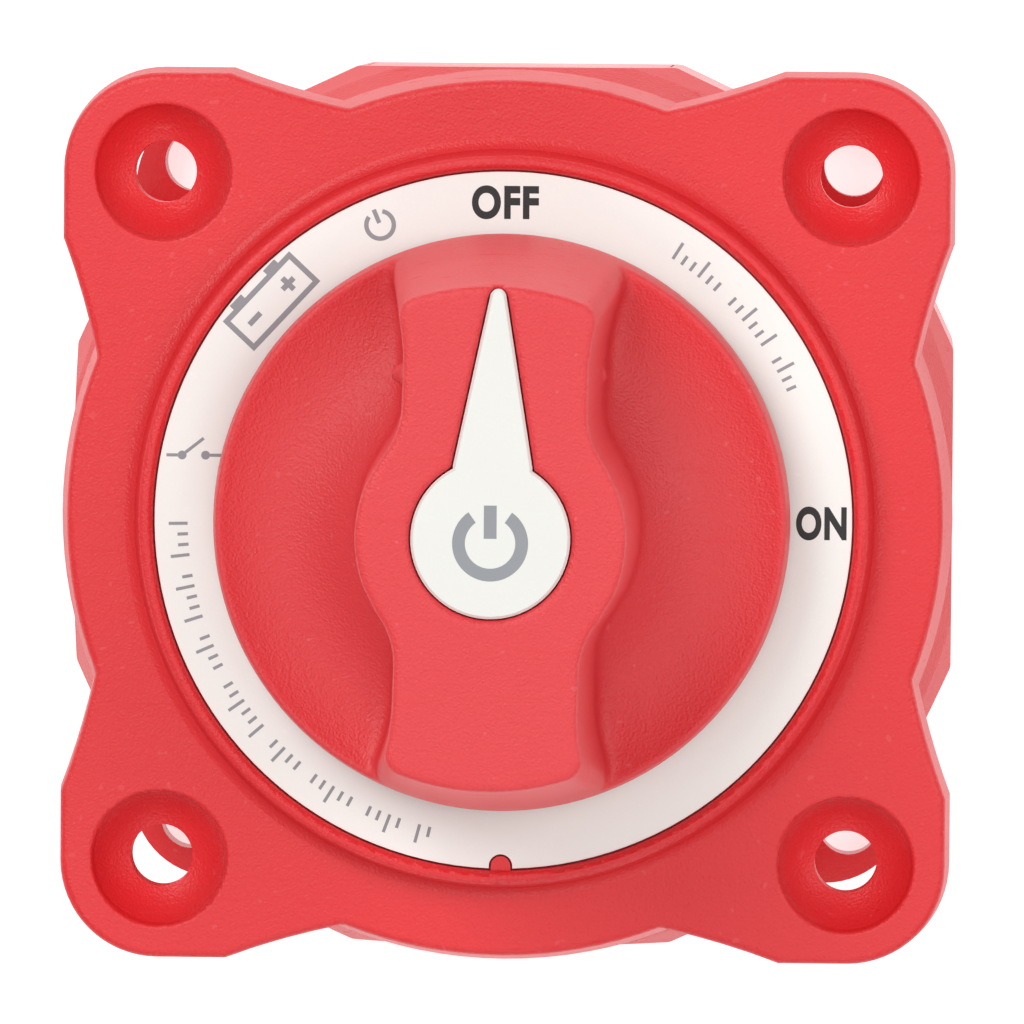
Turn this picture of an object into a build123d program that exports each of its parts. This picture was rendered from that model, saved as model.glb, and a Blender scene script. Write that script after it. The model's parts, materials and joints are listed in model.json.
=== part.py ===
# Rotary battery switch for a boat: one on-off circuit, two rear studs, surface or panel mounted.
# The origin is the centre of the rear mounting plane. +Z points out of the front, at the knob.
# Seen from the front, OFF is at the top (+Y) and ON is a quarter turn clockwise (+X).
import os
from math import atan2, cos, degrees, radians, sin, sqrt, tan

from build123d import *

os.makedirs("parts", exist_ok=True)

# Overall envelope
total_height = 74.7  # mounting plane to knob top
face_z = 44.4  # flange front face
flange_thickness = 6.0
ear_half = 34.0  # half width across the ears, at the front face
ear_draft = 0.4  # how much wider the ears are at their rear edge
ear_corner_radius = 7.45
ear_flat_start = 21.3  # where the straight edge of an ear begins
disc_radius = 33.6  # round middle of the flange, at the front face
disc_draft = 0.8
notch_x = 12.4  # where the ear slope meets the round middle
notch_y = 31.4
ear_slope_sag = 0.18
face_edge_round = 0.6

# Mounting holes
hole_spacing = 52.8
hole_radius = 2.4
dish_radius = 5.2
dish_depth = 3.4
dish_sag = 0.3
dish_wall_depth = 0.9
dish_wall_draft = 0.15
dish_foot_round = 0.5
dish_edge_round = 0.35

# Bezel ring, seat and label
bezel_inner_radius = 26.85
bezel_top_width = 1.05
bezel_height = 3.2  # above the flange face
bezel_slope = 0.5
bezel_blend = 1.5
bezel_edge_round = 0.5
seat_height = 1.9  # raised floor under the label, above the flange face
key_width = 1.5
key_length = 1.1
label_thickness = 0.8
label_gap = 0.15

# Body behind the flange
body_half = 31.1
body_corner_radius = 6.6
bulge_half = ear_half + ear_draft  # the cable exits stand as far out as the flange
bulge_flat = 25.0
bulge_slope_angle = 25.0
bulge_corner_round = 1.2
rear_edge_round = 0.5
barrel_radius = 30.5
flare_top_z = 36.0
flare_angle = 23.5
foot_thickness = 3.5
relief_radius = 5.5  # driver clearance beside each mounting hole
wall = 2.2
split_z = 24.5  # joint between the front and rear housings

# Mechanism chamber
cavity_radius = 26.0
front_wall = 3.5
bearing_length = 5.0
bearing_boss_radius = 9.5
stop_ring_inner = 14.2
stop_ring_width = 4.0
stop_ring_depth = 4.8
stop_gap_angle = 0.5
detent_post_radius = 2.0
detent_post_length = 8.8
core_pocket_width = 14.0
core_pocket_depth = 3.0
core_pocket_height = 3.0
core_pocket_wall = 1.8

# Shaft and rotor
turn_angle = 90.0
shaft_radius = 6.0
running_fit = 0.05
flat_gap = 0.05  # between faces that slide or seat on each other
washer_thickness = 0.4
washer_radius = 9.0
rotor_disc_radius = 13.5
rotor_disc_thickness = 2.4
stop_lug_length = 4.2
stop_lug_angle = 9.0
hub_radius = 11.5
drive_width = 8.6
drive_corner = 1.0
seal_radius = 0.7  # section radius of the shaft seal
seal_squeeze_gap = 0.04
seal_groove_height = 1.8
detent_notch_radius = 1.6
detent_notch_depth = 0.9

# Contacts
stud_spacing = 30.0
stud_radius = 5.0
stud_end_z = 3.0
stud_groove_z = 6.7
stud_groove_width = 0.5
stud_groove_radius = 4.3
stud_chamfer = 0.8
stud_head_width = 13.0
stud_head_thickness = 2.0
stud_head_round = 2.0
fixed_tip_radius = 4.5
fixed_tip_thickness = 1.4
moving_tip_radius = 4.0
moving_tip_thickness = 1.6
bridge_width = 12.0
bridge_thickness = 3.0
bridge_overhang = 6.5
bridge_round = 3.0
bridge_side_gap = 0.2
bridge_lift_gap = 0.65
retainer_thickness = 1.9
retainer_gap = 0.15
retainer_side_gap = 0.3
retainer_half_length = 10.1
retainer_width = 9.0
retainer_screw_radius = 1.0
retainer_screw_x = 8.2
retainer_screw_length = 6.5
retainer_head_radius = 1.7
spring_bore_radius = 5.4
spring_ceiling = 0.2
spring_wire = 0.55
spring_mean_radius = 4.3
spring_turns = 3.0
tip_gap = 0.05

# Detent leaf springs
leaf_thickness = 0.5
leaf_height = 3.6
leaf_slot_gap = 0.12
leaf_end_x = 14.7
leaf_end_y = 9.6
leaf_knee_x = 13.2
leaf_knee_y = 2.4
leaf_tip_x = 11.2
leaf_bend = 0.8
leaf_drop = 0.6  # under the rotor disc

# Contact base
base_thickness = 4.5
base_rim_overlap = 1.4  # how far the base reaches under the front housing wall
base_seat_radius = 8.5
base_seat_height = 2.0
rib_thickness = 1.3
rib_height = 1.5
rib_length = 12.0
barrier_thickness = 3.0
barrier_length = 43.0
barrier_z = 8.0
stud_seal_radius = 0.78
gasket_thickness = 0.8
seat_gap = 0.1

# Case screws
case_screw_circle = 26.5  # radius of the screw circle, on the diagonals
case_screw_radius = 1.5
case_screw_grip = 8.0
case_head_radius = 2.8
case_head_height = 2.0
case_boss_radius = 3.4
case_boss_height = 11.5
case_tab_radius = 3.6
thread_gap = 0.03
hole_gap = 0.2
screw_end_gap = 0.5

# Rear housing shelf, cable exits and covers
shelf_thickness = 2.0
shelf_radius = 24.0
cover_thickness = 2.2
cover_recess = 0.3
cover_ledge = 0.8
cover_gap = 0.15
cover_seat_gap = 0.1
hook_height = 4.0
hook_thickness = 1.2
hook_width = 4.0
hook_x = 28.0
hook_y = 16.0
pull_notch_width = 10.0
pull_notch_depth = 1.4
exit_width = 20.0
exit_height = 13.0
exit_bottom_z = 4.5
panel_lip = 2.0  # how far the side panel laps the wall around its opening
panel_thickness = 1.2
panel_plug_depth = 2.0
panel_gap = 0.15
panel_corner = 1.5

# Stud hardware
flat_washer_radius = 10.0
flat_washer_thickness = 2.0
lock_washer_radius = 9.0
lock_washer_thickness = 2.2
lock_washer_cut = 1.2
nut_across_flats = 16.0
nut_height = 6.5
nut_chamfer = 0.7

# Knob
knob_radius = 22.0
knob_gap = 0.4  # above the label
knob_skirt_height = 3.5
well_rim_height = 9.0  # above the flange face
knob_top_radius = 18.8
well_valley_radius = 17.6  # lowest circle of the finger wells
well_section_radius = 10.0
well_rim_drop = 0.95
grip_half_width = 6.9
grip_disc_radius = 10.1
grip_blend = 6.0
grip_waist_y = 12.5
grip_flare_radius = 16.4
grip_flare_reach = 4.0
grip_lag = 1.5  # degrees clockwise of the square drive
grip_draft = 2.0
grip_edge_round = 0.3
grip_corner_round = 1.5
grip_corner_share = 0.9
knob_wall = 2.4
knob_hub_radius = 8.6
drive_gap = 0.1
knob_screw_radius = 2.0
knob_screw_length = 12.0
knob_screw_head_radius = 3.5
knob_screw_head_height = 2.4
screw_head_chamfer = 0.5
cross_recess_width = 1.1
cross_recess_half = 2.1
cross_recess_depth = 1.4
knob_screw_wall = 4.2  # knob material between the screw head and the rotor's end

# Pointer insert
pointer_disc_radius = 5.94
pointer_root_half = 2.95
pointer_root_y = 5.1
pointer_tip_y = 18.6
pointer_tip_radius = 0.6
pointer_thickness = 1.2
pointer_recess = 0.1
pointer_gap = 0.12
pointer_edge_round = 0.2

# Levels that follow from the sizes above
flange_rear_z = face_z - flange_thickness
seat_z = face_z + seat_height
label_top_z = seat_z + label_thickness
bezel_top_z = face_z + bezel_height
ceiling_z = seat_z - front_wall
bearing_end_z = seat_z - bearing_length
washer_top_z = bearing_end_z - flat_gap
rotor_top_z = washer_top_z - washer_thickness - flat_gap
rotor_disc_z = rotor_top_z - rotor_disc_thickness
stop_ring_z = ceiling_z - stop_ring_depth
base_z = split_z - base_thickness
stud_head_top_z = split_z + stud_head_thickness
contact_z = stud_head_top_z + fixed_tip_thickness
bridge_z = contact_z + tip_gap + moving_tip_thickness
bridge_top_z = bridge_z + bridge_thickness
hub_end_z = bridge_z - retainer_gap
retainer_z = hub_end_z - retainer_thickness
slot_top_z = bridge_top_z + bridge_lift_gap
spring_top_z = rotor_disc_z - spring_ceiling
leaf_top_z = rotor_disc_z - leaf_drop
leaf_z = leaf_top_z - leaf_height
knob_z = label_top_z + knob_gap
skirt_top_z = knob_z + knob_skirt_height
rim_z = face_z + well_rim_height
pointer_floor_z = total_height - pointer_recess - pointer_thickness
screw_seat_z = pointer_floor_z - knob_screw_head_height - hole_gap
shaft_end_z = screw_seat_z - knob_screw_wall
shelf_z = base_z - shelf_thickness
base_seat_z = base_z - base_seat_height
washer_z = base_seat_z - flat_washer_thickness
lock_z = washer_z - lock_washer_thickness
nut_z = lock_z - nut_height
cover_top_z = cover_recess + cover_thickness
ledge_z = cover_top_z + cover_seat_gap
screw_offset = case_screw_circle / sqrt(2)
flare_reach = body_half * sqrt(2)
flare_bottom_z = flare_top_z - (flare_reach - barrel_radius) / tan(radians(flare_angle))
bulge_step = bulge_half - body_half
bulge_root = bulge_flat / 2 + bulge_step / tan(radians(bulge_slope_angle))
base_radius = cavity_radius + base_rim_overlap
bridge_half = stud_spacing / 2 + bridge_overhang
exit_mid_z = exit_bottom_z + exit_height / 2

stud_places = [(-stud_spacing / 2, 0), (stud_spacing / 2, 0)]
tip_places = [(0, -stud_spacing / 2), (0, stud_spacing / 2)]
sides = {"right": 0, "top": 90, "left": 180, "bottom": 270}


def finish(piece, name):
    piece.part.label = name
    export_step(piece.part, f"parts/{name}.step")


def side_plane(turn):
    # plane on the outer face of one side, with its x along the side and its y up
    outward = Vector(cos(radians(turn)), sin(radians(turn)), 0)
    return Plane(origin=outward * bulge_half, x_dir=outward.rotate(Axis.Z, 90), z_dir=outward)


# Shared outlines


def side_bulge():
    # flat bulge on the right side, with sloping shoulders
    with BuildSketch() as bulge:
        with BuildLine():
            Polyline(
                (0, -bulge_root),
                (body_half, -bulge_root),
                (bulge_half, -bulge_flat / 2),
                (bulge_half, bulge_flat / 2),
                (body_half, bulge_root),
                (0, bulge_root),
                close=True,
            )
        make_face()
    return bulge.sketch


def body_outline(inset):
    # rounded square with a flat bulge in the middle of each side
    with BuildSketch() as outline:
        RectangleRounded(2 * body_half, 2 * body_half, body_corner_radius)
        with PolarLocations(0, 4):
            add(side_bulge())
        bulge_corners = outline.vertices().filter_by(lambda v: max(abs(v.X), abs(v.Y)) > bulge_half - flat_gap)
        fillet(bulge_corners, bulge_corner_round)
        if inset:
            offset(amount=-inset, kind=Kind.INTERSECTION, mode=Mode.REPLACE)
    return outline.sketch


def waist_cut():
    # what the flange lacks between two ears, at the top
    with BuildSketch() as waist:
        with BuildLine():
            slope_a = SagittaArc((-ear_flat_start, ear_half), (-notch_x, notch_y), -ear_slope_sag)
            slope_b = SagittaArc((notch_x, notch_y), (ear_flat_start, ear_half), -ear_slope_sag)
            Line(slope_a @ 1, slope_b @ 0)
            Polyline(
                slope_b @ 1,
                (ear_flat_start, ear_half + ear_corner_radius),
                (-ear_flat_start, ear_half + ear_corner_radius),
                slope_a @ 0,
            )
        make_face()
    return waist.sketch


def chamber_outline(grow):
    # inside of the terminal chamber, which bends round the driver clearances
    with BuildSketch() as outline:
        add(body_outline(wall - grow))
        with GridLocations(hole_spacing, hole_spacing, 2, 2):
            Circle(relief_radius + wall - grow, mode=Mode.SUBTRACT)
    return outline.sketch


def base_outline(grow):
    with BuildSketch() as outline:
        Circle(base_radius + grow)
        with GridLocations(2 * screw_offset, 2 * screw_offset, 2, 2):
            Circle(case_tab_radius + grow)
    return outline.sketch


def sector(radius, start_angle, arc_size):
    with BuildSketch() as wedge:
        with BuildLine():
            arc = CenterArc((0, 0), radius, start_angle, arc_size)
            Line((0, 0), arc @ 0)
            Line(arc @ 1, (0, 0))
        make_face()
    return wedge.sketch


def leaf_outline(thickness):
    # one bent leaf, on the right, with its bump pointing at the rotor
    with BuildSketch() as leaf:
        with BuildLine() as bend:
            FilletPolyline(
                (leaf_end_x, -leaf_end_y),
                (leaf_knee_x, -leaf_knee_y),
                (leaf_tip_x, 0),
                (leaf_knee_x, leaf_knee_y),
                (leaf_end_x, leaf_end_y),
                radius=leaf_bend,
            )
        trace(bend.edges(), line_width=thickness)
    return leaf.sketch


def arrow_outline():
    with BuildSketch() as arrow:
        with Locations((0, pointer_tip_y - pointer_tip_radius)):
            Circle(pointer_tip_radius)
        with Locations((0, pointer_root_y)):
            Rectangle(2 * pointer_root_half, pointer_tip_radius)
        make_hull()
    return arrow.sketch


def pointer_outline(grow):
    with BuildSketch() as outline:
        Circle(pointer_disc_radius)
        add(arrow_outline())
        if grow:
            offset(amount=grow, mode=Mode.REPLACE)
    return outline.sketch.rotate(Axis.Z, -grip_lag)


def grip_outline():
    # plan of the raised grip: a bar that swells round the pointer disc and flares at its ends
    with BuildSketch() as outline:
        Rectangle(2 * grip_half_width, 2 * grip_waist_y)
        Circle(grip_disc_radius)
        fillet(outline.vertices().filter_by(lambda v: abs(v.Y) < grip_waist_y - flat_gap), grip_blend)
        with Locations((0, grip_waist_y + knob_radius / 2), (0, -grip_waist_y - knob_radius / 2)):
            Rectangle(2 * (grip_half_width + grip_flare_reach), knob_radius)
        with GridLocations(2 * (grip_half_width + grip_flare_radius), 2 * grip_waist_y, 2, 2):
            Circle(grip_flare_radius, mode=Mode.SUBTRACT)
    return outline.sketch.rotate(Axis.Z, -grip_lag)


# Body blank, which the two housings share

with BuildPart() as body_blank:
    with BuildSketch():
        add(body_outline(0))
    extrude(amount=flange_rear_z)
    with BuildSketch(Plane.XZ):
        with BuildLine():
            Polyline(
                (0, 0),
                (flare_reach, 0),
                (flare_reach, flare_bottom_z),
                (barrel_radius, flare_top_z),
                (barrel_radius, flange_rear_z),
                (0, flange_rear_z),
                close=True,
            )
        make_face()
    revolve(axis=Axis.Z, mode=Mode.INTERSECT)
    with BuildSketch(Plane.XY.offset(foot_thickness)):
        with GridLocations(hole_spacing, hole_spacing, 2, 2):
            Circle(relief_radius)
    extrude(amount=flange_rear_z - foot_thickness, mode=Mode.SUBTRACT)

# Front housing: flange, bezel, bearing and mechanism chamber in one moulding

with BuildPart() as front_housing:
    with BuildSketch(Plane.XY.offset(face_z)):
        RectangleRounded(2 * ear_half, 2 * ear_half, ear_corner_radius)
        with PolarLocations(0, 4):
            add(waist_cut(), mode=Mode.SUBTRACT)
    extrude(amount=-flange_thickness, taper=-degrees(atan2(ear_draft, flange_thickness)))
    with BuildSketch(Plane.XY.offset(face_z)):
        Circle(disc_radius)
    extrude(amount=-flange_thickness, taper=-degrees(atan2(disc_draft, flange_thickness)))
    fillet(front_housing.faces().sort_by(Axis.Z)[-1].outer_wire().edges(), face_edge_round)

    # bezel, with the seat for the label inside it
    with BuildSketch(Plane.XZ) as bezel_profile:
        with BuildLine():
            bezel_outer = bezel_inner_radius + bezel_top_width
            bezel_base = bezel_outer + bezel_slope
            Polyline(
                (bezel_base + bezel_blend, face_z),
                (bezel_base + bezel_blend, ceiling_z),
                (0, ceiling_z),
                (0, seat_z),
                (bezel_inner_radius, seat_z),
                (bezel_inner_radius, bezel_top_z),
                (bezel_outer, bezel_top_z),
                (bezel_base, face_z + bezel_slope),
            )
            RadiusArc((bezel_base, face_z + bezel_slope), (bezel_base + bezel_blend, face_z), -bezel_blend)
        make_face()
        fillet(bezel_profile.vertices().group_by(Axis.Y)[-1], bezel_edge_round)
    revolve(axis=Axis.Z)
    with BuildSketch(Plane.XY.offset(seat_z)):
        with Locations((0, -bezel_inner_radius)):
            SlotCenterPoint((0, 0), (0, key_length - key_width / 2), key_width)
    extrude(amount=label_thickness)

    # barrel and chamber
    with BuildPart(mode=Mode.PRIVATE) as barrel:
        add(body_blank.part)
        split(bisect_by=Plane.XY.offset(split_z), keep=Keep.TOP)
    add(barrel.part)
    with BuildSketch(Plane.XY.offset(split_z)):
        Circle(cavity_radius)
    extrude(amount=ceiling_z - split_z, mode=Mode.SUBTRACT)
    with BuildSketch(Plane.XY.offset(split_z)):
        with GridLocations(2 * screw_offset, 2 * screw_offset, 2, 2):
            Circle(case_boss_radius)
    extrude(amount=case_boss_height)
    with BuildSketch(Plane.XY.offset(split_z)):
        add(base_outline(seat_gap))
    extrude(amount=gasket_thickness, mode=Mode.SUBTRACT)
    with BuildSketch(Plane.XY.offset(split_z)):
        with PolarLocations(base_radius + core_pocket_wall + core_pocket_depth / 2, 4):
            Rectangle(core_pocket_depth, core_pocket_width)
    extrude(amount=core_pocket_height, mode=Mode.SUBTRACT)
    with BuildSketch(Plane.XY.offset(split_z)):
        with GridLocations(2 * screw_offset, 2 * screw_offset, 2, 2):
            Circle(case_screw_radius + thread_gap)
    extrude(amount=gasket_thickness + case_screw_grip + screw_end_gap, mode=Mode.SUBTRACT)

    # shaft bearing, end stops and the posts that hold the detent leaves
    with BuildSketch(Plane.XY.offset(bearing_end_z)):
        Circle(bearing_boss_radius)
    extrude(amount=ceiling_z - bearing_end_z)
    with BuildSketch(Plane.XY.offset(stop_ring_z)):
        Circle(stop_ring_inner + stop_ring_width)
        Circle(stop_ring_inner, mode=Mode.SUBTRACT)
        stop_window = turn_angle + stop_lug_angle + 2 * stop_gap_angle
        add(sector(cavity_radius, 90 - stop_window / 2, stop_window), mode=Mode.SUBTRACT)
    extrude(amount=stop_ring_depth)
    with BuildSketch(Plane.XY.offset(ceiling_z - detent_post_length)):
        with GridLocations(2 * leaf_end_x, 2 * leaf_end_y, 2, 2):
            Circle(detent_post_radius)
    extrude(amount=detent_post_length)
    with BuildSketch(Plane.XY.offset(ceiling_z - detent_post_length)):
        add(leaf_outline(leaf_thickness + 2 * leaf_slot_gap))
        add(leaf_outline(leaf_thickness + 2 * leaf_slot_gap).rotate(Axis.Z, 180))
    extrude(amount=leaf_top_z + leaf_slot_gap - ceiling_z + detent_post_length, mode=Mode.SUBTRACT)
    with BuildSketch(Plane.XY.offset(bearing_end_z)):
        Circle(shaft_radius + running_fit)
    extrude(amount=bearing_length, mode=Mode.SUBTRACT)

    # mounting holes, each in a deep dish for the screw head
    with BuildSketch(Plane.XZ) as dish_profile:
        with BuildLine():
            Polyline(
                (dish_radius - dish_wall_draft, face_z - dish_wall_depth),
                (dish_radius, face_z),
                (dish_radius + dish_edge_round, face_z),
                (dish_radius + dish_edge_round, face_z + dish_edge_round),
                (0, face_z + dish_edge_round),
                (0, flange_rear_z),
                (hole_radius, flange_rear_z),
                (hole_radius, face_z - dish_depth),
            )
            wall_foot = (dish_radius - dish_wall_draft, face_z - dish_wall_depth)
            SagittaArc((hole_radius, face_z - dish_depth), wall_foot, -dish_sag)
        make_face()
        dish_rim = dish_profile.vertices().filter_by(
            lambda v: abs(v.X - dish_radius) + abs(v.Y - face_z) < flat_gap
        )
        fillet(dish_rim, dish_edge_round)
        dish_foot = dish_profile.vertices().filter_by(lambda v: abs(v.Y - wall_foot[1]) < flat_gap)
        fillet(dish_foot, dish_foot_round)
    with BuildPart(mode=Mode.PRIVATE) as dish:
        add(dish_profile.sketch)
        revolve(axis=Axis.Z)
    with GridLocations(hole_spacing, hole_spacing, 2, 2):
        add(dish.part, mode=Mode.SUBTRACT)
finish(front_housing, "front_housing")

with BuildPart() as label_ring:
    with BuildSketch(Plane.XY.offset(seat_z)):
        Circle(bezel_inner_radius - label_gap)
        Circle(shaft_radius + running_fit + label_gap, mode=Mode.SUBTRACT)
        with Locations((0, -bezel_inner_radius)):
            SlotCenterPoint(
                (0, 0),
                (0, key_length - key_width / 2),
                key_width + 2 * label_gap,
                mode=Mode.SUBTRACT,
            )
    extrude(amount=label_thickness)
finish(label_ring, "label_ring")

# Knob, hollow underneath, with a socket for the rotor's square end

with BuildPart() as grip_bar:
    with BuildSketch(Plane.XY.offset(total_height)):
        add(grip_outline())
    extrude(amount=knob_z - total_height, taper=-grip_draft)

with BuildPart() as finger_wells:
    valley_z = rim_z - well_rim_drop
    with BuildSketch(Plane.XZ):
        with BuildLine():
            inner_r = well_valley_radius - well_section_radius
            outer_r = knob_radius + well_rim_drop
            outer_run = outer_r - well_valley_radius
            outer_drop = well_section_radius - sqrt(well_section_radius**2 - outer_run**2)
            arc_in = (inner_r, valley_z + well_section_radius)
            arc_out = (outer_r, valley_z + outer_drop)
            ThreePointArc(arc_in, (well_valley_radius, valley_z), arc_out)
            Polyline(
                arc_out,
                (outer_r, total_height + well_rim_drop),
                (inner_r, total_height + well_rim_drop),
                arc_in,
            )
        make_face()
    revolve(axis=Axis.Z)
    add(grip_bar.part, mode=Mode.SUBTRACT)
    with BuildSketch(Plane.XY.offset(total_height)):
        add(grip_outline())
    extrude(amount=well_rim_drop, mode=Mode.SUBTRACT)

with BuildPart() as knob:
    with BuildSketch(Plane.XZ):
        with BuildLine():
            Polyline(
                (0, knob_z),
                (knob_radius, knob_z),
                (knob_radius, skirt_top_z),
                (knob_top_radius, total_height),
                (0, total_height),
                close=True,
            )
        make_face()
    revolve(axis=Axis.Z)
    add(finger_wells.part, mode=Mode.SUBTRACT)
    grip_corners = knob.edges().filter_by(lambda e: e.length > total_height - rim_z)
    grip_corners = grip_corners.filter_by(lambda e: abs(e.center().Y) > knob_top_radius * grip_corner_share)
    fillet(grip_corners, grip_corner_round)
    fillet(knob.faces().sort_by(Axis.Z)[-1].outer_wire().edges(), grip_edge_round)
    hollow_top_z = valley_z - knob_wall
    with BuildSketch(Plane.XY.offset(knob_z)):
        Circle(knob_radius - knob_wall)
        Circle(knob_hub_radius, mode=Mode.SUBTRACT)
    extrude(amount=hollow_top_z - knob_z, mode=Mode.SUBTRACT)
    with BuildSketch(Plane.XY.offset(hollow_top_z)):
        Rectangle(2 * (grip_half_width - knob_wall), 2 * (knob_top_radius - knob_wall), rotation=-grip_lag)
        Circle(knob_hub_radius, mode=Mode.SUBTRACT)
    extrude(amount=pointer_floor_z - knob_wall - hollow_top_z, mode=Mode.SUBTRACT)
    with BuildSketch(Plane.XY.offset(knob_z)):
        drive_socket = drive_width + 2 * drive_gap
        RectangleRounded(drive_socket, drive_socket, drive_corner)
    extrude(amount=shaft_end_z + flat_gap - knob_z, mode=Mode.SUBTRACT)
    with BuildSketch(Plane.XY.offset(knob_z)):
        Circle(knob_screw_radius + hole_gap)
    extrude(amount=total_height - knob_z, mode=Mode.SUBTRACT)
    with BuildSketch(Plane.XY.offset(screw_seat_z)):
        Circle(knob_screw_head_radius + hole_gap)
    extrude(amount=total_height - screw_seat_z, mode=Mode.SUBTRACT)
    with BuildSketch(Plane.XY.offset(pointer_floor_z)):
        add(pointer_outline(pointer_gap))
    extrude(amount=total_height - pointer_floor_z, mode=Mode.SUBTRACT)
finish(knob, "knob")

with BuildPart() as pointer_insert:
    with BuildSketch(Plane.XY.offset(pointer_floor_z)):
        add(pointer_outline(0))
    extrude(amount=pointer_thickness)
    chamfer(pointer_insert.faces().sort_by(Axis.Z)[-1].outer_wire().edges(), pointer_edge_round)
finish(pointer_insert, "pointer_insert")

with BuildPart() as knob_screw:
    with BuildSketch(Plane.XY.offset(screw_seat_z)):
        Circle(knob_screw_head_radius)
    extrude(amount=knob_screw_head_height)
    chamfer(knob_screw.edges().group_by(Axis.Z)[-1], screw_head_chamfer)
    with BuildSketch(Plane.XY.offset(screw_seat_z)):
        Circle(knob_screw_radius)
    extrude(amount=-knob_screw_length)
    with BuildSketch(Plane.XY.offset(screw_seat_z + knob_screw_head_height)):
        Rectangle(cross_recess_width, 2 * cross_recess_half)
        Rectangle(2 * cross_recess_half, cross_recess_width)
    extrude(amount=-cross_recess_depth, mode=Mode.SUBTRACT)
finish(knob_screw, "knob_screw")

# Rotor: shaft, stop disc and the hub that carries the bridge

with BuildPart() as rotor:
    with BuildSketch(Plane.XY.offset(hub_end_z)):
        Circle(hub_radius)
    extrude(amount=rotor_disc_z - hub_end_z)
    with BuildSketch(Plane.XY.offset(rotor_disc_z)):
        Circle(rotor_disc_radius)
        off_lug_angle = 90 + turn_angle / 2
        add(sector(rotor_disc_radius + stop_lug_length, off_lug_angle - stop_lug_angle / 2, stop_lug_angle))
    extrude(amount=rotor_disc_thickness)
    with BuildSketch(Plane.XY.offset(rotor_top_z)):
        Circle(shaft_radius)
    extrude(amount=label_top_z - rotor_top_z)
    with BuildSketch(Plane.XY.offset(label_top_z)):
        RectangleRounded(drive_width, drive_width, drive_corner)
    extrude(amount=shaft_end_z - label_top_z)
    seal_mid_z = (seat_z + bearing_end_z) / 2
    seal_ring_radius = shaft_radius + running_fit - seal_squeeze_gap - seal_radius
    with BuildSketch(Plane.XY.offset(seal_mid_z - seal_groove_height / 2)):
        Circle(2 * shaft_radius)
        Circle(seal_ring_radius - seal_radius - seal_squeeze_gap, mode=Mode.SUBTRACT)
    extrude(amount=seal_groove_height, mode=Mode.SUBTRACT)
    with BuildSketch(Plane.XY.offset(shaft_end_z)):
        Circle(knob_screw_radius + thread_gap)
    extrude(amount=-(knob_screw_length - knob_screw_wall + screw_end_gap), mode=Mode.SUBTRACT)
    with BuildSketch(Plane.XY.offset(hub_end_z)):
        Rectangle(bridge_width + 2 * bridge_side_gap, 3 * hub_radius)
    extrude(amount=slot_top_z - hub_end_z, mode=Mode.SUBTRACT)
    with BuildSketch(Plane.XY.offset(hub_end_z)):
        Circle(spring_bore_radius)
    extrude(amount=spring_top_z - hub_end_z, mode=Mode.SUBTRACT)
    with BuildSketch(Plane.XY.offset(leaf_z - flat_gap)):
        with PolarLocations(hub_radius + detent_notch_radius - detent_notch_depth, 4):
            Circle(detent_notch_radius)
    extrude(amount=leaf_height + 2 * flat_gap, mode=Mode.SUBTRACT)
    with BuildSketch(Plane.XY.offset(hub_end_z)):
        with Locations((-retainer_screw_x, 0), (retainer_screw_x, 0)):
            Circle(retainer_screw_radius + thread_gap)
    extrude(amount=retainer_screw_length - retainer_thickness + screw_end_gap, mode=Mode.SUBTRACT)
finish(rotor, "rotor")

with BuildPart() as shaft_seal:
    with BuildSketch(Plane.XZ):
        with Locations((seal_ring_radius, seal_mid_z)):
            Circle(seal_radius)
    revolve(axis=Axis.Z)
finish(shaft_seal, "shaft_seal")

with BuildPart() as thrust_washer:
    with BuildSketch(Plane.XY.offset(washer_top_z - washer_thickness)):
        Circle(washer_radius)
        Circle(shaft_radius + running_fit, mode=Mode.SUBTRACT)
    extrude(amount=washer_thickness)
finish(thrust_washer, "thrust_washer")

# Contact bridge, which lies along Y while the switch is off

with BuildPart() as contact_bridge:
    with BuildSketch(Plane.XY.offset(bridge_z)):
        RectangleRounded(bridge_width, 2 * bridge_half, bridge_round)
    extrude(amount=bridge_thickness)
finish(contact_bridge, "contact_bridge")

with BuildPart() as bridge_tips:
    with BuildSketch(Plane.XY.offset(bridge_z - moving_tip_thickness)):
        with Locations(*tip_places):
            Circle(moving_tip_radius)
    extrude(amount=moving_tip_thickness)
finish(bridge_tips, "bridge_tips")

with BuildPart() as bridge_retainer:
    with BuildSketch(Plane.XY.offset(retainer_z)):
        Rectangle(2 * retainer_half_length, retainer_width)
        Circle(stud_spacing / 2 - fixed_tip_radius - retainer_side_gap, mode=Mode.INTERSECT)
    extrude(amount=retainer_thickness)
    with Locations(Plane(origin=(0, 0, retainer_z), z_dir=(0, 0, -1))):
        with Locations((-retainer_screw_x, 0), (retainer_screw_x, 0)):
            CounterSinkHole(retainer_screw_radius + thread_gap, retainer_head_radius + thread_gap)
finish(bridge_retainer, "bridge_retainer")

with BuildPart() as retainer_screws:
    with BuildSketch(Plane.XZ) as retainer_screw_profile:
        with BuildLine():
            head_depth = retainer_head_radius - retainer_screw_radius
            Polyline(
                (0, retainer_z),
                (retainer_head_radius, retainer_z),
                (retainer_screw_radius, retainer_z + head_depth),
                (retainer_screw_radius, retainer_z + retainer_screw_length),
                (0, retainer_z + retainer_screw_length),
                close=True,
            )
        make_face()
    with BuildPart(mode=Mode.PRIVATE) as retainer_screw:
        add(retainer_screw_profile.sketch)
        revolve(axis=Axis.Z)
    with Locations((-retainer_screw_x, 0), (retainer_screw_x, 0)):
        add(retainer_screw.part)
finish(retainer_screws, "retainer_screws")

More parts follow.
